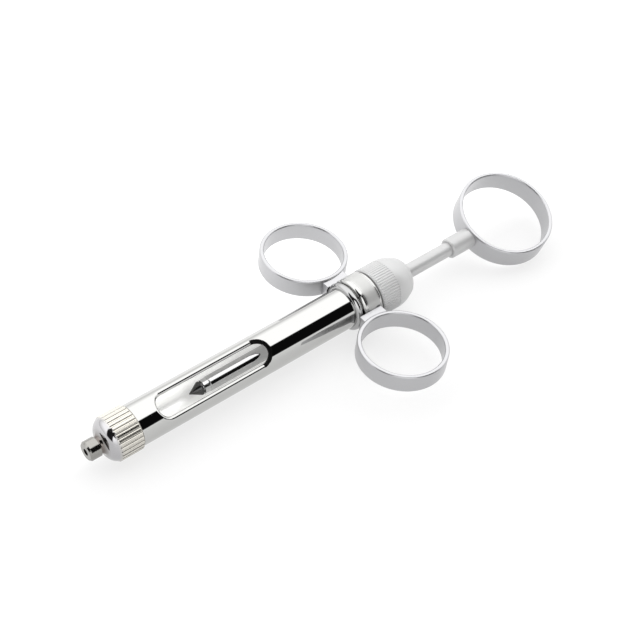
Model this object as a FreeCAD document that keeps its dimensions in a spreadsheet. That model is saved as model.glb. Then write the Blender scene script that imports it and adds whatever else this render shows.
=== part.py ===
import FreeCAD, Part
import math
import os
import Sketcher

# Three-ring aspirating cartridge syringe, millimetres.
# +X runs along the barrel from the needle end to the thumb ring, +Z is up, and the
# origin is on the barrel axis where the needle thread starts.

doc = FreeCAD.newDocument("aspirating_syringe")

DIMENSIONS = [
    # needle adaptor: stations along X, then radii
    ("nipple_tip", "-0.5"), ("nipple_rear", "2.9"), ("neck_rear", "3.4"), ("flare_rear", "4.5"),
    ("face_rear", "6.3"), ("cap_front", "6.9"), ("cap_edge", "13.8"), ("cap_rear", "14.0"),
    ("spigot_rear", "18.0"),
    ("nipple_radius", "2.95"), ("nipple_tip_radius", "2.5"), ("neck_radius", "2.5"),
    ("flare_radius", "4.2"), ("flare_round", "1.9"), ("face_radius", "6.35"),
    ("face_round", "3.4"), ("cap_radius", "6.8"), ("cap_rear_radius", "6.6"),
    ("spigot_radius", "5.4"), ("recess_front", "15.0"), ("recess_radius", "3.9"),
    ("needle_mouth_depth", "1.6"), ("needle_mouth_radius", "1.05"), ("needle_bore_radius", "0.65"),
    ("cap_flute_front", "5.6"), ("cap_flute_length", "=cap_rear-cap_flute_front"),
    ("cap_flute_count", "32"), ("cap_flute_radius", "0.42"), ("cap_flute_pitch_radius", "6.96"),
    # adaptor washer
    ("washer_front", "18.05"), ("washer_rear", "18.65"), ("washer_radius", "5.35"),
    ("washer_bore", "4.1"),
    # barrel
    ("barrel_front", "14.05"), ("barrel_shoulder", "18.7"),
    ("barrel_thread_front", "98.6"), ("barrel_rear", "105.5"),
    ("barrel_radius", "6.3"), ("barrel_bore", "4.85"), ("barrel_mouth_radius", "5.44"),
    ("barrel_thread_radius", "6.1"), ("barrel_edge", "0.25"),
    ("barrel_edge_front", "=barrel_front+barrel_edge"),
    ("barrel_edge_radius", "=barrel_radius-barrel_edge"),
    ("window_front", "21.1"), ("window_rear", "58.6"), ("window_half_width", "3.2"),
    ("window_turn", "27.6"), ("window_edge_round", "0.8"),
    ("window_first_centre", "=window_front+window_half_width"),
    ("window_last_centre", "=window_rear-window_half_width"),
    # finger collar (a rounded bead), sleeve, lugs and rings
    ("collar_front", "89.1"), ("collar_rear", "91.4"),
    ("collar_crown", "=(collar_front+collar_rear)/2"), ("collar_foot_radius", "6.5"),
    ("collar_radius", "7.6"), ("collar_round", "1.16"),
    ("sleeve_front", "91.7"), ("sleeve_shoulder", "92.6"), ("sleeve_rear_edge", "98.0"),
    ("sleeve_rear", "98.5"), ("sleeve_radius", "7.73"), ("sleeve_front_radius", "6.95"),
    ("sleeve_front_round", "0.9"), ("sleeve_rear_radius", "7.3"), ("sleeve_rear_round", "0.7"),
    ("lug_front", "89.4"), ("lug_rear", "97.4"), ("lug_half_height", "2.5"),
    ("lug_inner", "7.0"), ("lug_outer", "11.6"),
    ("ring_station", "92.5"), ("ring_offset", "22.8"), ("ring_outer", "13.49"),
    ("ring_inner", "12.12"), ("ring_half_height", "3.0"), ("ring_edge_round", "0.5"),
    ("ring_tip", "3.4"),
    ("pin_station", "96.6"), ("pin_turn", "75"), ("pin_radius", "1.0"), ("pin_foot", "6.35"),
    ("pin_head", "7.58"), ("pin_hole_radius", "1.03"),
    # knurled lock nut
    ("nut_front", "98.85"), ("nut_edge", "99.2"), ("nut_flute_rear", "105.4"),
    ("nut_shoulder", "107.6"), ("nut_taper_rear", "110.5"), ("nut_crown", "113.2"),
    ("nut_rear", "114.1"), ("nut_radius", "7.85"), ("nut_front_radius", "7.5"),
    ("nut_taper_radius", "6.7"), ("nut_crown_radius", "4.5"), ("nut_rear_radius", "3.0"),
    ("nut_taper_round", "9.0"), ("nut_crown_round", "4.2"), ("nut_thread_bore", "6.15"),
    ("nut_neck_bore", "3.25"), ("nut_neck_rear", "111.6"), ("nut_rod_hole", "2.35"),
    ("nut_flute_count", "60"), ("nut_flute_radius", "0.24"), ("nut_flute_pitch_radius", "7.95"),
    ("nut_flute_start", "98.4"), ("nut_flute_length", "=nut_flute_rear-nut_flute_start"),
    # rod guide, bearing, retaining ring and spring inside the barrel
    ("guide_front", "78.0"), ("guide_spigot_front", "99.5"), ("guide_flange_front", "105.55"),
    ("guide_flange_rear", "107.5"), ("guide_rear", "111.5"), ("guide_bore", "2.29"),
    ("guide_radius", "3.2"), ("guide_spigot_radius", "4.8"), ("guide_flange_radius", "6.05"),
    ("groove_ring_front", "78.3"), ("groove_ring_rear", "79.0"), ("groove_ring_radius", "2.8"),
    ("clip_front", "78.35"), ("clip_rear", "78.95"), ("clip_bore", "2.85"),
    ("clip_radius", "4.1"), ("clip_gap", "2.6"), ("clip_gap_top", "6.0"),
    ("bearing_front", "79.1"), ("bearing_step", "82.1"), ("bearing_rear", "84.1"),
    ("bearing_bore", "3.25"), ("bearing_radius", "4.75"), ("bearing_step_radius", "3.6"),
    ("coil_radius", "4.15"), ("wire_radius", "0.35"), ("coil_pitch", "2.4"),
    ("coil_front", "=bearing_step+wire_radius+0.02"),
    ("coil_length", "=guide_spigot_front-wire_radius-0.02-coil_front"),
    # piston rod and harpoon
    ("rod_front", "39.5"), ("rod_front_edge", "39.8"), ("rod_rear", "137.5"),
    ("rod_radius", "2.25"), ("rod_front_radius", "1.95"), ("stem_rear", "43.5"),
    ("stem_radius", "1.0"), ("stem_bore", "1.02"), ("stem_bore_rear", "43.7"),
    ("tip_front", "33.2"), ("tip_rear", "36.9"), ("tip_edge", "37.2"), ("tip_radius", "2.05"),
    ("barb_root", "36.7"), ("harpoon_neck_rear", "37.7"), ("harpoon_neck_radius", "1.3"),
    ("harpoon_collar_radius", "2.1"),
    # thumb ring and its socket
    ("socket_front", "131.8"), ("socket_front_edge", "132.4"), ("socket_rear", "141.5"),
    ("socket_radius", "3.2"), ("socket_front_radius", "2.6"), ("socket_front_round", "0.6"),
    ("socket_bore", "2.29"), ("socket_bore_rear", "137.7"),
    ("thumb_station", "155.65"), ("thumb_outer", "15.45"), ("thumb_inner", "14.15"),
    ("thumb_half_height", "3.6"), ("thumb_turn", "14.8"), ("cut_depth", "40"),
]

sheet = doc.addObject("Spreadsheet::Sheet", "dims")
for row, (alias, text) in enumerate(DIMENSIONS, start=1):
    sheet.set("A%d" % row, alias)
    sheet.set("B%d" % row, text)
    sheet.setAlias("B%d" % row, alias)
doc.recompute()


def value(name):
    """Number behind an alias; a leading minus sign negates it."""
    return -float(sheet.get(name[1:])) if name.startswith("-") else float(sheet.get(name))


def bound(name):
    """Expression that reads an alias from the sheet."""
    return "-dims." + name[1:] if name.startswith("-") else "dims." + name


def new_body(label):
    body = doc.addObject("PartDesign::Body", label)
    body.Label = label
    return body


def new_sketch(body, label, role):
    """Sketch lying on one of the body's own origin planes."""
    sketch = body.newObject("Sketcher::SketchObject", label)
    plane = [f for f in body.Origin.OriginFeatures if f.Role == role][0]
    sketch.AttachmentSupport = (plane, [""])
    sketch.MapMode = "FlatFace"
    return sketch


def pin_point(sketch, edge, end, across, up):
    """Fix one point at two named distances from the sketch origin ("axis" means zero)."""
    for kind, axis, name in (("DistanceX", -2, across), ("DistanceY", -1, up)):
        if name == "axis":
            sketch.addConstraint(Sketcher.Constraint("PointOnObject", edge, end, axis))
        else:
            index = sketch.addConstraint(
                Sketcher.Constraint(kind, -1, 1, edge, end, value(name)))
            sketch.setExpression("Constraints[%d]" % index, bound(name))


def arc_through(start, end, radius):
    """Arc that bulges away from the X axis, or towards it if the radius is negative."""
    chord = end - start
    normal = FreeCAD.Vector(-chord.y, chord.x, 0).normalize()
    if normal.y * radius < 0:
        normal = -normal
    half = chord.Length / 2
    rise = abs(radius) - math.sqrt(radius * radius - half * half)
    return Part.Arc(start, (start + end) / 2 + normal * rise, end)


def draw_outline(sketch, outline):
    """Closed outline; a row is (across, up) or (across, up, radius of the arc that follows)."""
    points = [FreeCAD.Vector(0 if row[0] == "axis" else value(row[0]),
                             0 if row[1] == "axis" else value(row[1]), 0) for row in outline]
    heads, tails = [], []
    for i, row in enumerate(outline):
        start, end = points[i], points[(i + 1) % len(points)]
        if len(row) == 3:
            edge = sketch.addGeometry(arc_through(start, end, value(row[2])))
        else:
            edge = sketch.addGeometry(Part.LineSegment(start, end))
        forward = (sketch.getPoint(edge, 1) - start).Length < 1e-6
        heads.append(1 if forward else 2)
        tails.append(2 if forward else 1)
    for i, row in enumerate(outline):
        after = (i + 1) % len(points)
        sketch.addConstraint(
            Sketcher.Constraint("Coincident", i, tails[i], after, heads[after]))
        pin_point(sketch, i, heads[i], row[0], row[1])
        if len(row) == 3:
            radius = row[2].lstrip("-")
            index = sketch.addConstraint(Sketcher.Constraint("Radius", i, value(radius)))
            sketch.setExpression("Constraints[%d]" % index, bound(radius))


def draw_circle(sketch, across, up, radius):
    at = [0 if name == "axis" else value(name) for name in (across, up)]
    edge = sketch.addGeometry(
        Part.Circle(FreeCAD.Vector(at[0], at[1], 0), FreeCAD.Vector(0, 0, 1), value(radius)))
    pin_point(sketch, edge, 3, across, up)
    index = sketch.addConstraint(Sketcher.Constraint("Radius", edge, value(radius)))
    sketch.setExpression("Constraints[%d]" % index, bound(radius))


def turned(label, outline, about="H_Axis"):
    """Body turned from an outline of stations and radii."""
    body = new_body(label)
    sketch = new_sketch(body, label + "_outline", "XZ_Plane")
    draw_outline(sketch, outline)
    solid = body.newObject("PartDesign::Revolution", label + "_turning")
    solid.Profile = sketch
    solid.ReferenceAxis = (sketch, [about])
    solid.Angle = 360
    doc.recompute()
    return body


def cut(body, sketch, length, both_ways=False, outwards=False):
    """Pocket whose depth is a named distance."""
    pocket = body.newObject("PartDesign::Pocket", sketch.Name + "_cut")
    pocket.Profile = sketch
    pocket.Midplane = both_ways
    pocket.Reversed = outwards
    pocket.setExpression("Length", bound(length))
    doc.recompute()
    return pocket


def tilt_sketch(sketch, angle):
    """Turn a sketch about the X axis by a named angle."""
    sketch.AttachmentOffset = FreeCAD.Placement(
        FreeCAD.Vector(), FreeCAD.Rotation(FreeCAD.Vector(1, 0, 0), value(angle)))
    sketch.setExpression(".AttachmentOffset.Rotation.Angle", bound(angle) + " * 1 deg")


def flutes(body, start, length, pitch_radius, radius, count):
    """Straight half-round grooves cut along X all round a body."""
    sketch = new_sketch(body, body.Label + "_flute", "YZ_Plane")
    sketch.AttachmentOffset = FreeCAD.Placement(
        FreeCAD.Vector(0, 0, value(start)), FreeCAD.Rotation())
    sketch.setExpression(".AttachmentOffset.Base.z", bound(start) + " * 1 mm")
    draw_circle(sketch, "axis", pitch_radius, radius)
    pocket = cut(body, sketch, length, outwards=True)
    pattern = body.newObject("PartDesign::PolarPattern", body.Label + "_flutes")
    pattern.Originals = [pocket]
    pattern.Axis = (sketch, ["N_Axis"])
    pattern.Angle = 360
    pattern.setExpression("Occurrences", bound(count))
    body.Tip = pattern
    doc.recompute()


def round_edges(body, radius, wanted):
    """Rounding of every edge of the body that `wanted` picks."""
    solid = body.Tip
    edges = ["Edge%d" % i for i, e in enumerate(solid.Shape.Edges, start=1) if wanted(e)]
    rounding = body.newObject("PartDesign::Fillet", body.Label + "_rounding")
    rounding.Base = (solid, edges)
    rounding.setExpression("Radius", "dims." + radius)
    body.Tip = rounding
    doc.recompute()


def needle_adaptor():
    body = turned("needle_adaptor", [
        ("nipple_tip", "nipple_tip_radius"), ("axis", "nipple_radius"),
        ("nipple_rear", "nipple_radius"), ("nipple_rear", "neck_radius"),
        ("neck_rear", "neck_radius", "-flare_round"),
        ("flare_rear", "flare_radius", "face_round"), ("face_rear", "face_radius"),
        ("cap_front", "cap_radius"), ("cap_edge", "cap_radius"), ("cap_rear", "cap_rear_radius"),
        ("cap_rear", "spigot_radius"), ("spigot_rear", "spigot_radius"),
        ("spigot_rear", "recess_radius"), ("recess_front", "recess_radius"),
        ("recess_front", "needle_bore_radius"), ("needle_mouth_depth", "needle_bore_radius"),
        ("needle_mouth_depth", "needle_mouth_radius"), ("nipple_tip", "needle_mouth_radius")])
    flutes(body, "cap_flute_front", "cap_flute_length", "cap_flute_pitch_radius",
           "cap_flute_radius", "cap_flute_count")
    return body


def adaptor_washer():
    return turned("adaptor_washer", [
        ("washer_front", "washer_bore"), ("washer_front", "washer_radius"),
        ("washer_rear", "washer_radius"), ("washer_rear", "washer_bore")])


def barrel():
    body = turned("barrel", [
        ("barrel_front", "barrel_mouth_radius"), ("barrel_front", "barrel_edge_radius"),
        ("barrel_edge_front", "barrel_radius"), ("barrel_thread_front", "barrel_radius"),
        ("barrel_thread_front", "barrel_thread_radius"), ("barrel_rear", "barrel_thread_radius"),
        ("barrel_rear", "barrel_bore"), ("barrel_shoulder", "barrel_bore"),
        ("barrel_shoulder", "barrel_mouth_radius")])
    window = new_sketch(body, "barrel_window", "XY_Plane")
    tilt_sketch(window, "window_turn")
    draw_slot(window, "window_first_centre", "window_last_centre", "window_half_width")
    cut(body, window, "cut_depth", outwards=True)
    surface = value("barrel_radius")
    round_edges(body, "window_edge_round", lambda edge: all(
        abs(math.hypot(v.Y, v.Z) - surface) < 0.01
        and value("window_front") < v.X < value("window_rear") for v in edge.Vertexes))
    return body


def draw_slot(sketch, first, last, half_width):
    """Round-ended slot along the sketch's X axis."""
    near, far, half = value(first), value(last), value(half_width)
    centre = FreeCAD.Vector
    circle = Part.Circle(centre(near, 0, 0), centre(0, 0, 1), half)
    sketch.addGeometry(Part.ArcOfCircle(circle, math.pi / 2, 3 * math.pi / 2))
    sketch.addGeometry(Part.LineSegment(centre(near, -half, 0), centre(far, -half, 0)))
    circle = Part.Circle(centre(far, 0, 0), centre(0, 0, 1), half)
    sketch.addGeometry(Part.ArcOfCircle(circle, -math.pi / 2, math.pi / 2))
    sketch.addGeometry(Part.LineSegment(centre(far, half, 0), centre(near, half, 0)))
    for joint in ((0, 2, 1, 1), (1, 2, 2, 1), (2, 2, 3, 1), (3, 2, 0, 1)):
        sketch.addConstraint(Sketcher.Constraint("Tangent", *joint))
    pin_point(sketch, 0, 3, first, "axis")
    pin_point(sketch, 2, 3, last, "axis")
    index = sketch.addConstraint(Sketcher.Constraint("Radius", 0, half))
    sketch.setExpression("Constraints[%d]" % index, bound(half_width))


def finger_collar():
    return turned("finger_collar", [
        ("collar_front", "barrel_radius"),
        ("collar_front", "collar_foot_radius", "collar_round"),
        ("collar_crown", "collar_radius", "collar_round"),
        ("collar_rear", "collar_foot_radius"), ("collar_rear", "barrel_radius")])


def rear_sleeve():
    body = turned("rear_sleeve", [
        ("sleeve_front", "barrel_radius"),
        ("sleeve_front", "sleeve_front_radius", "sleeve_front_round"),
        ("sleeve_shoulder", "sleeve_radius"),
        ("sleeve_rear_edge", "sleeve_radius", "sleeve_rear_round"),
        ("sleeve_rear", "sleeve_rear_radius"), ("sleeve_rear", "barrel_radius")])
    hole = new_sketch(body, "sleeve_pin_hole", "XY_Plane")
    tilt_sketch(hole, "pin_turn")
    draw_circle(hole, "pin_station", "axis", "pin_hole_radius")
    cut(body, hole, "cut_depth", outwards=True)
    return body


def locating_pin():
    pin = doc.addObject("Part::Cylinder", "locating_pin")
    pin.Label = "locating_pin"
    pin.setExpression("Radius", "dims.pin_radius")
    pin.setExpression("Height", "dims.pin_head - dims.pin_foot")
    turn = math.radians(value("pin_turn"))
    foot = value("pin_foot")
    pin.Placement = FreeCAD.Placement(
        FreeCAD.Vector(value("pin_station"), -foot * math.sin(turn), foot * math.cos(turn)),
        FreeCAD.Rotation(FreeCAD.Vector(1, 0, 0), value("pin_turn")))
    pin.setExpression(".Placement.Base.x", "dims.pin_station * 1 mm")
    pin.setExpression(".Placement.Base.y", "-dims.pin_foot * sin(dims.pin_turn * 1 deg) * 1 mm")
    pin.setExpression(".Placement.Base.z", "dims.pin_foot * cos(dims.pin_turn * 1 deg) * 1 mm")
    pin.setExpression(".Placement.Rotation.Angle", "dims.pin_turn * 1 deg")
    return pin


def ring_lug(label, side):
    """Block brazed between the sleeve and one finger ring, hollowed to fit both."""
    body = new_body(label)
    block = new_sketch(body, label + "_block", "XY_Plane")
    draw_outline(block, [("lug_front", side + "lug_inner"), ("lug_rear", side + "lug_inner"),
                         ("lug_rear", side + "lug_outer"), ("lug_front", side + "lug_outer")])
    pad = body.newObject("PartDesign::Pad", label + "_pad")
    pad.Profile = block
    pad.Midplane = True
    pad.setExpression("Length", "2 * dims.lug_half_height")
    doc.recompute()
    ring_seat = new_sketch(body, label + "_ring_seat", "XY_Plane")
    ring_seat.AttachmentOffset = FreeCAD.Placement(
        FreeCAD.Vector(value("ring_station"), 0, 0),
        FreeCAD.Rotation(FreeCAD.Vector(0, 1, 0), value("ring_tip")))
    ring_seat.setExpression(".AttachmentOffset.Base.x", "dims.ring_station * 1 mm")
    ring_seat.setExpression(".AttachmentOffset.Rotation.Angle", "dims.ring_tip * 1 deg")
    draw_circle(ring_seat, "axis", side + "ring_offset", "ring_outer")
    cut(body, ring_seat, "cut_depth", both_ways=True)
    sleeve_seat = new_sketch(body, label + "_sleeve_seat", "YZ_Plane")
    draw_circle(sleeve_seat, "axis", "axis", "sleeve_radius")
    cut(body, sleeve_seat, "thumb_station", outwards=True)
    return body


def band_ring(label, outer, inner, half_height):
    """Flat band ring about its own Z axis, with rounded edges."""
    body = turned(label, [(inner, "-" + half_height), (outer, "-" + half_height),
                          (outer, half_height), (inner, half_height)], about="V_Axis")
    round_edges(body, "ring_edge_round", lambda edge: edge.isClosed())
    return body


def finger_ring(label, side):
    """Finger ring, tipped slightly about the line through both rings' centres."""
    body = band_ring(label, "ring_outer", "ring_inner", "ring_half_height")
    body.Placement = FreeCAD.Placement(
        FreeCAD.Vector(value("ring_station"), value(side + "ring_offset"), 0),
        FreeCAD.Rotation(FreeCAD.Vector(0, 1, 0), value("ring_tip")))
    body.setExpression(".Placement.Base.x", "dims.ring_station * 1 mm")
    body.setExpression(".Placement.Base.y", bound(side + "ring_offset") + " * 1 mm")
    body.setExpression(".Placement.Rotation.Angle", "dims.ring_tip * 1 deg")
    return body


def lock_nut():
    body = turned("lock_nut", [
        ("nut_front", "nut_thread_bore"), ("nut_front", "nut_front_radius"),
        ("nut_edge", "nut_radius"), ("nut_flute_rear", "nut_radius", "nut_taper_round"),
        ("nut_taper_rear", "nut_taper_radius", "nut_crown_round"),
        ("nut_crown", "nut_crown_radius"), ("nut_rear", "nut_rear_radius"),
        ("nut_rear", "nut_rod_hole"), ("nut_neck_rear", "nut_rod_hole"),
        ("nut_neck_rear", "nut_neck_bore"), ("nut_shoulder", "nut_neck_bore"),
        ("nut_shoulder", "nut_thread_bore")])
    flutes(body, "nut_flute_start", "nut_flute_length", "nut_flute_pitch_radius",
           "nut_flute_radius", "nut_flute_count")
    return body


def rod_guide():
    return turned("rod_guide", [
        ("guide_front", "guide_bore"), ("guide_front", "guide_radius"),
        ("groove_ring_front", "guide_radius"), ("groove_ring_front", "groove_ring_radius"),
        ("groove_ring_rear", "groove_ring_radius"), ("groove_ring_rear", "guide_radius"),
        ("guide_spigot_front", "guide_radius"), ("guide_spigot_front", "guide_spigot_radius"),
        ("guide_flange_front", "guide_spigot_radius"),
        ("guide_flange_front", "guide_flange_radius"),
        ("guide_flange_rear", "guide_flange_radius"), ("guide_flange_rear", "guide_radius"),
        ("guide_rear", "guide_radius"), ("guide_rear", "guide_bore")])


def retaining_ring():
    body = turned("retaining_ring", [
        ("clip_front", "clip_bore"), ("clip_front", "clip_radius"),
        ("clip_rear", "clip_radius"), ("clip_rear", "clip_bore")])
    gap = new_sketch(body, "retaining_ring_gap", "XZ_Plane")
    draw_outline(gap, [("guide_front", "axis"), ("bearing_front", "axis"),
                       ("bearing_front", "clip_gap_top"), ("guide_front", "clip_gap_top")])
    cut(body, gap, "clip_gap", both_ways=True)
    return body


def guide_bearing():
    return turned("guide_bearing", [
        ("bearing_front", "bearing_bore"), ("bearing_front", "bearing_radius"),
        ("bearing_step", "bearing_radius"), ("bearing_step", "bearing_step_radius"),
        ("bearing_rear", "bearing_step_radius"), ("bearing_rear", "bearing_bore")])


def loading_spring():
    coil = doc.addObject("Part::Helix", "spring_path")
    coil.setExpression("Pitch", "dims.coil_pitch")
    coil.setExpression("Height", "dims.coil_length")
    coil.setExpression("Radius", "dims.coil_radius")
    coil.SegmentLength = 0.5
    wire = doc.addObject("Part::Circle", "spring_wire")
    wire.setExpression("Radius", "dims.wire_radius")
    wire.Placement = FreeCAD.Placement(
        FreeCAD.Vector(value("coil_radius"), 0, 0),
        FreeCAD.Rotation(FreeCAD.Vector(1, 0, 0), 90))
    wire.setExpression(".Placement.Base.x", "dims.coil_radius * 1 mm")
    doc.recompute()
    spring = doc.addObject("Part::Sweep", "loading_spring")
    spring.Label = "loading_spring"
    spring.Sections = [wire]
    spring.Spine = (coil, ["Edge%d" % i for i in range(1, len(coil.Shape.Edges) + 1)])
    spring.Solid = True
    spring.Frenet = True
    spring.Placement = FreeCAD.Placement(
        FreeCAD.Vector(value("coil_front"), 0, 0),
        FreeCAD.Rotation(FreeCAD.Vector(0, 1, 0), 90))
    spring.setExpression(".Placement.Base.x", "dims.coil_front * 1 mm")
    return spring


def piston_rod():
    return turned("piston_rod", [
        ("rod_front", "stem_bore"), ("rod_front", "rod_front_radius"),
        ("rod_front_edge", "rod_radius"), ("rod_rear", "rod_radius"),
        ("rod_rear", "axis"), ("stem_bore_rear", "axis"), ("stem_bore_rear", "stem_bore")])


def harpoon():
    return turned("harpoon", [
        ("tip_front", "axis"), ("tip_rear", "tip_radius"), ("tip_edge", "tip_radius"),
        ("barb_root", "harpoon_neck_radius"), ("harpoon_neck_rear", "harpoon_neck_radius"),
        ("harpoon_neck_rear", "harpoon_collar_radius"), ("rod_front", "harpoon_collar_radius"),
        ("rod_front", "stem_radius"), ("stem_rear", "stem_radius"), ("stem_rear", "axis")])


def ring_socket():
    body = turned("ring_socket", [
        ("socket_front", "socket_bore"),
        ("socket_front", "socket_front_radius", "socket_front_round"),
        ("socket_front_edge", "socket_radius"), ("socket_rear", "socket_radius"),
        ("socket_rear", "axis"), ("socket_bore_rear", "axis"),
        ("socket_bore_rear", "socket_bore")])
    seat = new_sketch(body, "socket_ring_seat", "XY_Plane")
    tilt_sketch(seat, "thumb_turn")
    draw_circle(seat, "thumb_station", "axis", "thumb_outer")
    cut(body, seat, "cut_depth", both_ways=True)
    return body


def thumb_ring():
    body = band_ring("thumb_ring", "thumb_outer", "thumb_inner", "thumb_half_height")
    body.Placement = FreeCAD.Placement(
        FreeCAD.Vector(value("thumb_station"), 0, 0),
        FreeCAD.Rotation(FreeCAD.Vector(1, 0, 0), value("thumb_turn")))
    body.setExpression(".Placement.Base.x", "dims.thumb_station * 1 mm")
    body.setExpression(".Placement.Rotation.Angle", "dims.thumb_turn * 1 deg")
    return body


NODES = [
    barrel(), needle_adaptor(), adaptor_washer(), finger_collar(), rear_sleeve(),
    locating_pin(), ring_lug("ring_lug_left", ""), ring_lug("ring_lug_right", "-"),
    finger_ring("finger_ring_left", ""), finger_ring("finger_ring_right", "-"), lock_nut(),
    rod_guide(), retaining_ring(), guide_bearing(), loading_spring(), piston_rod(),
    harpoon(), ring_socket(), thumb_ring(),
]
doc.recompute()

os.makedirs("parts", exist_ok=True)
for item in doc.Objects:
    if "Invalid" in item.State or "Error" in item.State:
        raise RuntimeError("%s did not recompute: %s" % (item.Label, item.State))
for node in NODES:
    shape = node.Shape
    if shape.isNull() or not shape.isValid() or not shape.Solids:
        raise RuntimeError("%s has no valid solid" % node.Label)
    shape.exportStep("parts/%s.step" % node.Label)
    print("%-20s %d solid %10.2f mm3" % (node.Label, len(shape.Solids), shape.Volume))
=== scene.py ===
import math

import bpy
from mathutils import Matrix, Vector


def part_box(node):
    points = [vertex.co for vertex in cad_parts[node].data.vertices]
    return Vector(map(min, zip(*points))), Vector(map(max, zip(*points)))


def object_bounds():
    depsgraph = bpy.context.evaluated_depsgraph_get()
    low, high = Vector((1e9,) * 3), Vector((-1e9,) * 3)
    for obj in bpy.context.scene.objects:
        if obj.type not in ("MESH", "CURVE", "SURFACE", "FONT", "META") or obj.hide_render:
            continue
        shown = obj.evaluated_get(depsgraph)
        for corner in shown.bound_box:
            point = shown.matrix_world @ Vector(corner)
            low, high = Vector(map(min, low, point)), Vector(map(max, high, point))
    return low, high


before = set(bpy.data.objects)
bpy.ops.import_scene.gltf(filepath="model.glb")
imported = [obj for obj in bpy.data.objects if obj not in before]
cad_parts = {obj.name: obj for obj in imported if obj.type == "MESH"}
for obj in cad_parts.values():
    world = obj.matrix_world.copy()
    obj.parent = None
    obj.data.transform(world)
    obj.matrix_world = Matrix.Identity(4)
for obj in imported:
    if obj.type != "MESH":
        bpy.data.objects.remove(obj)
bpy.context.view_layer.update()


MM = 0.001


# ---------------------------------------------------------------- node helpers
class Graph:
    """A material's node tree with short ways to add nodes and wire them."""

    def __init__(self, name):
        self.material = bpy.data.materials.new(name)
        self.material.use_nodes = True
        self.tree = self.material.node_tree
        self.shader = self.tree.nodes["Principled BSDF"]

    def add(self, kind, **inputs):
        node = self.tree.nodes.new(kind)
        for key, item in inputs.items():
            self.feed(node.inputs[key.replace("_", " ")], item)
        return node

    def feed(self, socket, item):
        if isinstance(item, bpy.types.NodeSocket):
            self.tree.links.new(item, socket)
        else:
            socket.default_value = item

    def math(self, operation, first, second=None, third=None, clamp=False):
        node = self.tree.nodes.new("ShaderNodeMath")
        node.operation = operation
        node.use_clamp = clamp
        for socket, item in zip(node.inputs, (first, second, third)):
            if item is not None:
                self.feed(socket, item)
        return node.outputs[0]

    def pick(self, mask, off, on):
        """Value or colour that is `off` where the mask is 0 and `on` where it is 1."""
        node = self.tree.nodes.new("ShaderNodeMix")
        colour = isinstance(on, tuple)
        node.data_type = "RGBA" if colour else "FLOAT"
        first, second = [n for n in node.inputs if n.type == ("RGBA" if colour else "VALUE")][-2:]
        self.feed(node.inputs["Factor"], mask)
        self.feed(first, off)
        self.feed(second, on)
        return [n for n in node.outputs if n.type == first.type][0]

    def blend(self, mask, finish):
        """Change the shader's inputs to those of `finish` where the mask is 1."""
        for key, item in finish.items():
            socket = self.shader.inputs[key]
            old = socket.links[0].from_socket if socket.is_linked else socket.default_value
            if isinstance(item, tuple) and not socket.is_linked:
                old = tuple(old)
            self.feed(socket, self.pick(mask, old, item))

    def place(self):
        """Object coordinates, which are the row frame in metres."""
        return self.add("ShaderNodeTexCoord").outputs["Object"]

    def axes(self):
        """X, Y and Z of a point on the surface, in metres."""
        return self.add("ShaderNodeSeparateXYZ", Vector=self.place()).outputs

    def noise(self, where, scale, detail=3.0, stretch=(1, 1, 1)):
        mapping = self.add("ShaderNodeMapping", Vector=where)
        mapping.inputs["Scale"].default_value = stretch
        node = self.add("ShaderNodeTexNoise", Vector=mapping.outputs[0], Scale=scale)
        node.inputs["Detail"].default_value = detail
        return node.outputs["Fac"]

    def span(self, value, low, high, to_low, to_high):
        node = self.add("ShaderNodeMapRange", Value=value)
        for key, item in (("From Min", low), ("From Max", high), ("To Min", to_low),
                          ("To Max", to_high)):
            node.inputs[key].default_value = item
        return node.outputs[0]

    def bump(self, height, distance, strength, normal=None):
        node = self.add("ShaderNodeBump", Height=height)
        node.inputs["Distance"].default_value = distance
        node.inputs["Strength"].default_value = strength
        if normal is not None:
            self.feed(node.inputs["Normal"], normal)
        return node.outputs[0]

    def soft_edge(self, radius):
        node = self.add("ShaderNodeBevel")
        node.samples = 4
        node.inputs["Radius"].default_value = radius
        return node.outputs[0]


# Grain: noise scale and its stretch along X, Y and Z. Depths and edge radii are in metres.
EVEN = (1, 1, 1)
ALONG_X = (0.1, 1, 1)
ROUND_X = (1, 0.1, 0.1)


def metal(name, colour, rough, spread, grain, stretch, depth, edge, tint_spread=0.03):
    """Metal whose roughness, tint and surface vary with a fine grain."""
    g = Graph(name)
    where = g.place()
    fine = g.noise(where, grain, 4.0, stretch)
    broad = g.noise(where, 90.0, 3.0)
    mixed = g.math("MULTIPLY_ADD", broad, 0.5, g.math("MULTIPLY", fine, 0.5))
    g.feed(g.shader.inputs["Roughness"], g.span(mixed, 0.3, 0.7, rough - spread, rough + spread))
    tint = g.add("ShaderNodeMix")
    tint.data_type = "RGBA"
    g.feed(tint.inputs["Factor"], broad)
    dark = [c * (1 - tint_spread) for c in colour]
    tint.inputs["A"].default_value = (*dark, 1)
    tint.inputs["B"].default_value = (*colour, 1)
    g.feed(g.shader.inputs["Base Color"], tint.outputs["Result"])
    g.shader.inputs["Metallic"].default_value = 1.0
    normal = g.bump(fine, depth, 0.5, g.soft_edge(edge))
    g.feed(g.shader.inputs["Normal"], normal)
    return g


def satin_steel():
    """Finely brushed bands and lugs."""
    return metal("satin_steel", (0.47, 0.47, 0.48), rough=0.30, spread=0.03, grain=2500.0,
                 stretch=(1, 1, 0.2), depth=1.5e-6, edge=2e-4)


def collar_metal():
    """Polished finger collar."""
    return metal("polished_collar", (0.40, 0.40, 0.40), rough=0.05, spread=0.015, grain=900.0,
                 stretch=EVEN, depth=1e-6, edge=1e-4)


def plated_brass():
    """Turned brass of the guide and the bearing, plated pale."""
    return metal("plated_brass", (0.50, 0.47, 0.38), rough=0.18, spread=0.04, grain=1500.0,
                 stretch=ROUND_X, depth=3e-6, edge=1e-4)


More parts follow.
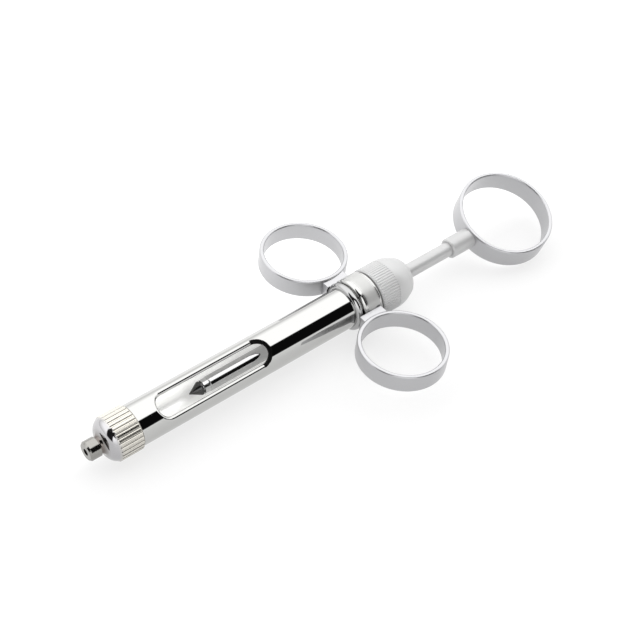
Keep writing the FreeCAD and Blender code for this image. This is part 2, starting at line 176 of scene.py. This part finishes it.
def spring_wire():
    """Drawn wire of the spring and the retaining ring."""
    return metal("spring_wire", (0.45, 0.45, 0.45), rough=0.22, spread=0.04, grain=1800.0,
                 stretch=EVEN, depth=3e-6, edge=5e-5)


def blasted_steel():
    """Bead-blasted nut, pale and nearly matt."""
    g = metal("blasted_steel", (0.56, 0.56, 0.56), rough=0.5, spread=0.04, grain=6000.0,
              stretch=EVEN, depth=6e-6, edge=1e-4)
    g.shader.inputs["Metallic"].default_value = 0.3
    return g


def barrel_metal():
    """Polished outside, satin in the bore, painted dark shade on the rear cut of the window.

    The bore is painted pale and glows a little, painted light for the light that a real polished
    tube gathers."""
    g = metal("barrel_chrome", (0.51, 0.51, 0.50), rough=0.04, spread=0.015, grain=900.0,
              stretch=ALONG_X, depth=1e-6, edge=2e-5)
    wall = 1.40 * MM
    skin = 0.02 * MM
    cut_front, cut_rear = 55.4 * MM, 60 * MM
    x, y, z = g.axes()
    radius = g.math("SQRT", g.math("ADD", g.math("MULTIPLY", y, y), g.math("MULTIPLY", z, z)))
    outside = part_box("barrel")[1][2]
    bore = g.math("LESS_THAN", radius, outside - wall)
    # Painted light: the bore is painted pale and glows a little for the light gathered inside the
    # tube.
    g.blend(bore, {"Base Color": (0.85, 0.85, 0.84, 1), "Metallic": 0.5, "Roughness": 0.32,
                   "Emission Strength": 0.26})
    g.shader.inputs["Emission Color"].default_value = (1, 1, 0.99, 1)
    below_skin = g.math("LESS_THAN", radius, outside - skin)
    in_wall = g.math("MULTIPLY", below_skin, g.math("SUBTRACT", 1.0, bore))
    at_rear = g.math("MULTIPLY", g.math("GREATER_THAN", x, cut_front),
                     g.math("LESS_THAN", x, cut_rear))
    # Painted shade: the cut face of the window wall between cut_front and cut_rear is painted
    # near black for the shade on it.
    painted_cut_shade = g.math("MULTIPLY", in_wall, at_rear)
    g.blend(painted_cut_shade, {"Base Color": (0.007, 0.007, 0.007, 1), "Roughness": 0.4})
    return g


def rod_metal():
    """Rod with its front half polished and the part behind the nut finely turned."""
    g = metal("piston_steel", (0.52, 0.52, 0.52), rough=0.40, spread=0.03, grain=2500.0,
              stretch=ROUND_X, depth=1.5e-6, edge=2e-4)
    polish_rear = 95 * MM
    x, y, z = g.axes()
    g.shader.inputs["Metallic"].default_value = 0.35
    g.blend(g.math("LESS_THAN", x, polish_rear), {"Roughness": 0.08, "Metallic": 1.0})
    return g


def harpoon_metal():
    """Point painted near black as painted shade, with a bright polished collar behind it."""
    g = metal("harpoon_steel_painted_shade", (0.07, 0.07, 0.07), rough=0.2, spread=0.04, grain=2200.0,
              stretch=ALONG_X, depth=3e-6, edge=5e-5)
    point_length = 4.4 * MM
    x, y, z = g.axes()
    collar_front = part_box("harpoon")[0][0] + point_length
    # The point keeps its painted shade; only the collar behind it takes the bright metal colour.
    g.blend(g.math("GREATER_THAN", x, collar_front), {"Base Color": (0.6, 0.6, 0.6, 1)})
    return g


def sleeve_metal():
    """Satin sleeve with polished edges."""
    g = metal("satin_sleeve", (0.52, 0.52, 0.51), rough=0.40, spread=0.03, grain=2500.0,
              stretch=EVEN, depth=1.5e-6, edge=2e-4)
    front_edge, front_fade = 0.8 * MM, 1.4 * MM
    rear_edge, rear_fade = 0.4 * MM, 1.0 * MM
    x, y, z = g.axes()
    low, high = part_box("rear_sleeve")
    start, stop = low[0] + front_edge, high[0] - rear_edge
    middle = g.math("MULTIPLY", g.span(x, start, start + front_fade, 0, 1),
                    g.span(x, stop, stop - rear_fade, 0, 1), clamp=True)
    edge = g.math("SUBTRACT", 1.0, middle)
    g.shader.inputs["Metallic"].default_value = 0.45
    g.blend(edge, {"Roughness": 0.06, "Metallic": 1.0})
    return g


def adaptor_metal():
    """Chrome adaptor: polished face, softer flutes painted paler and warm as a painted highlight,
    nipple and neck painted darker as painted shade, and a thread on the nipple.
    """
    g = metal("adaptor_chrome", (0.46, 0.455, 0.465), rough=0.06, spread=0.02, grain=900.0,
              stretch=ALONG_X, depth=1e-6, edge=1e-4)
    flutes_front, flutes_full = 6.2 * MM, 7.4 * MM
    nipple_full, nipple_rear = 3.6 * MM, 4.6 * MM
    neck_front, neck_full = 2.8 * MM, 3.2 * MM
    thread_front, thread_rear = 0.1 * MM, 2.8 * MM
    pitch, depth = 0.75 * MM, 0.25 * MM
    x, y, z = g.axes()
    cap = g.span(x, flutes_front, flutes_full, 0, 1)
    # Painted highlight: the flutes are painted paler and warm for their warm highlights; their
    # higher roughness is their own softer finish.
    g.blend(cap, {"Base Color": (0.60, 0.58, 0.53, 1), "Roughness": 0.26})
    nipple = g.span(x, nipple_rear, nipple_full, 0, 1)
    # Painted shade: the nipple is painted darker for its shaded look.
    g.blend(nipple, {"Base Color": (0.30, 0.295, 0.28, 1), "Roughness": 0.14})
    neck = g.math("MULTIPLY", g.span(x, neck_front, neck_full, 0, 1), nipple)
    # Painted shade: the neck where the nipple meets the cap is painted darker still, for the
    # shade in that recess.
    g.blend(neck, {"Base Color": (0.17, 0.15, 0.14, 1)})
    turn = g.math("DIVIDE", g.math("ARCTAN2", z, y), 2 * math.pi)
    phase = g.math("FRACT", g.math("ADD", g.math("DIVIDE", x, pitch), turn))
    ridge = g.math("PINGPONG", phase, 0.5)
    on_nipple = g.math("MULTIPLY", g.math("GREATER_THAN", x, thread_front),
                       g.math("LESS_THAN", x, thread_rear))
    height = g.math("MULTIPLY", ridge, on_nipple)
    smooth = g.shader.inputs["Normal"].links[0].from_socket
    g.feed(g.shader.inputs["Normal"], g.bump(height, depth, 0.12, smooth))
    return g


def washer_plastic():
    """Moulded washer with a fine speckle."""
    g = Graph("washer_plastic")
    where = g.place()
    speck = g.noise(where, 1500.0, 3.0)
    g.feed(g.shader.inputs["Roughness"], g.span(speck, 0.3, 0.7, 0.45, 0.6))
    g.shader.inputs["Base Color"].default_value = (0.80, 0.80, 0.77, 1)
    g.feed(g.shader.inputs["Normal"], g.bump(speck, 1e-5, 0.4))
    return g


def paint(node, material):
    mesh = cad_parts[node].data
    mesh.materials.clear()
    mesh.materials.append(material)


FINISHES = [
    (barrel_metal(), ["barrel"]),
    (collar_metal(), ["finger_collar"]),
    (sleeve_metal(), ["rear_sleeve"]),
    (adaptor_metal(), ["needle_adaptor"]),
    (washer_plastic(), ["adaptor_washer"]),
    (satin_steel(), ["locating_pin", "ring_lug_left", "ring_lug_right", "finger_ring_left",
                     "finger_ring_right", "thumb_ring"]),
    (rod_metal(), ["ring_socket", "piston_rod"]),
    (blasted_steel(), ["lock_nut"]),
    (plated_brass(), ["rod_guide", "guide_bearing"]),
    (spring_wire(), ["retaining_ring", "loading_spring"]),
    (harpoon_metal(), ["harpoon"]),
]
for finish, nodes in FINISHES:
    for node in nodes:
        paint(node, finish.material)


# ---------------------------------------------------------------- stage, light, camera
# Dark cards round the studio: azimuth and elevation of the centre, half width and half height,
# all in degrees, then the softness of the edge and the brightness.
CARDS = [
    {"at": (-61, 34.5), "half": (25, 23.5), "soft": 0.03, "level": 0.006},
    {"at": (-172, 40), "half": (19, 31), "soft": 0.05, "level": 0.02},
    {"at": (-115, 64), "half": (27, 10), "soft": 0.05, "level": 0.02},
]

FLOOR_SIZE = 6.0
FLOOR_GAP = 0.08 * MM
GLOW_NEAR, GLOW_FAR = 0.70, 1.0
SKY_LOW, SKY_HIGH = 1.15, 2.0

# The camera looks at AIM from DISTANCE away. AZIMUTH is the way it faces, ELEVATION is how far
# it looks down, and ROLL is its turn about its own line of sight, in degrees.
AIM = Vector((80.72, 0.256, 0)) * MM
DISTANCE = 422.95 * MM
AZIMUTH, ELEVATION, ROLL = 46.036, 47.350, 6.076


def floor_sheet():
    """White paper under the object that glows as painted light to wash out the shadows cast on
    it, a little brighter behind the object than in front.
    """
    low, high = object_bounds()
    bpy.ops.mesh.primitive_plane_add(size=FLOOR_SIZE, location=(AIM.x, 0, low[2] - FLOOR_GAP))
    floor = bpy.context.object
    floor.name = "floor"
    g = Graph("floor_white")
    cloud = g.noise(g.place(), 2.0, 2.0)
    shade = g.span(cloud, 0.3, 0.7, 0.22, 0.24)
    colour = g.add("ShaderNodeCombineColor", Red=shade, Green=shade, Blue=shade)
    g.feed(g.shader.inputs["Base Color"], colour.outputs[0])
    g.shader.inputs["Roughness"].default_value = 0.7
    g.shader.inputs["Emission Color"].default_value = (1, 1, 1, 1)
    x, y, z = g.axes()
    # Painted light: the floor's glow lifts the shadows on it and grows towards the back.
    glow = g.span(y, 0.0, 30 * MM, GLOW_NEAR, GLOW_FAR)
    g.feed(g.shader.inputs["Emission Strength"], glow)
    floor.data.materials.append(g.material)


def direction(azimuth, elevation):
    a, e = math.radians(azimuth), math.radians(elevation)
    return Vector((math.cos(e) * math.cos(a), math.cos(e) * math.sin(a), math.sin(e)))


class Sky(Graph):
    """The studio around the object: a soft sky with dark cards in it."""

    def __init__(self):
        world = bpy.data.worlds.new("studio")
        bpy.context.scene.world = world
        world.use_nodes = True
        self.tree = world.node_tree
        self.background = self.tree.nodes["Background"]
        self.ray = self.add("ShaderNodeTexCoord").outputs["Generated"]

    def along(self, axis):
        node = self.tree.nodes.new("ShaderNodeVectorMath")
        node.operation = "DOT_PRODUCT"
        self.feed(node.inputs[0], self.ray)
        node.inputs[1].default_value = axis
        return node.outputs["Value"]

    def card(self, azimuth, elevation, half_width, half_height, soft):
        """1 inside a card seen at this direction, 0 outside, angles in degrees."""
        centre = direction(azimuth, elevation)
        side = Vector((0, 0, 1)).cross(centre).normalized()
        lift = centre.cross(side)
        depth = self.math("MAXIMUM", self.along(centre), 1e-4)
        mask = self.span(self.along(centre), 0.0, 0.05, 0, 1)
        for axis, half in ((side, half_width), (lift, half_height)):
            reach = math.tan(math.radians(half))
            off = self.math("ABSOLUTE", self.math("DIVIDE", self.along(axis), depth))
            edge = self.span(off, reach + soft, reach - soft, 0, 1)
            mask = self.math("MULTIPLY", mask, edge)
        return mask


def world_light():
    """Light from all round, brighter overhead, with the cards standing in it."""
    sky = Sky()
    height = sky.along((0, 0, 1))
    level = sky.span(height, 0.1, 0.5, SKY_LOW, SKY_HIGH)
    for card in CARDS:
        mask = sky.card(*card["at"], *card["half"], card["soft"])
        level = sky.math("MULTIPLY_ADD", mask, card["level"],
                         sky.math("MULTIPLY", level, sky.math("SUBTRACT", 1.0, mask)))
    sky.background.inputs["Color"].default_value = (1, 1, 1, 1)
    sky.feed(sky.background.inputs["Strength"], level)


def camera():
    lens = bpy.data.cameras.new("view")
    eye = bpy.data.objects.new("view", lens)
    bpy.context.scene.collection.objects.link(eye)
    lens.lens = 81.3
    lens.sensor_width = 36
    lens.clip_start = 0.01
    forward = direction(AZIMUTH, -ELEVATION)
    level = forward.to_track_quat("-Z", "Y").to_matrix().to_4x4()
    tilt = Matrix.Rotation(math.radians(ROLL), 4, "Z")
    eye.matrix_world = Matrix.Translation(AIM - DISTANCE * forward) @ level @ tilt
    bpy.context.scene.camera = eye


floor_sheet()
world_light()
camera()
bpy.context.scene.view_settings.view_transform = "Standard"
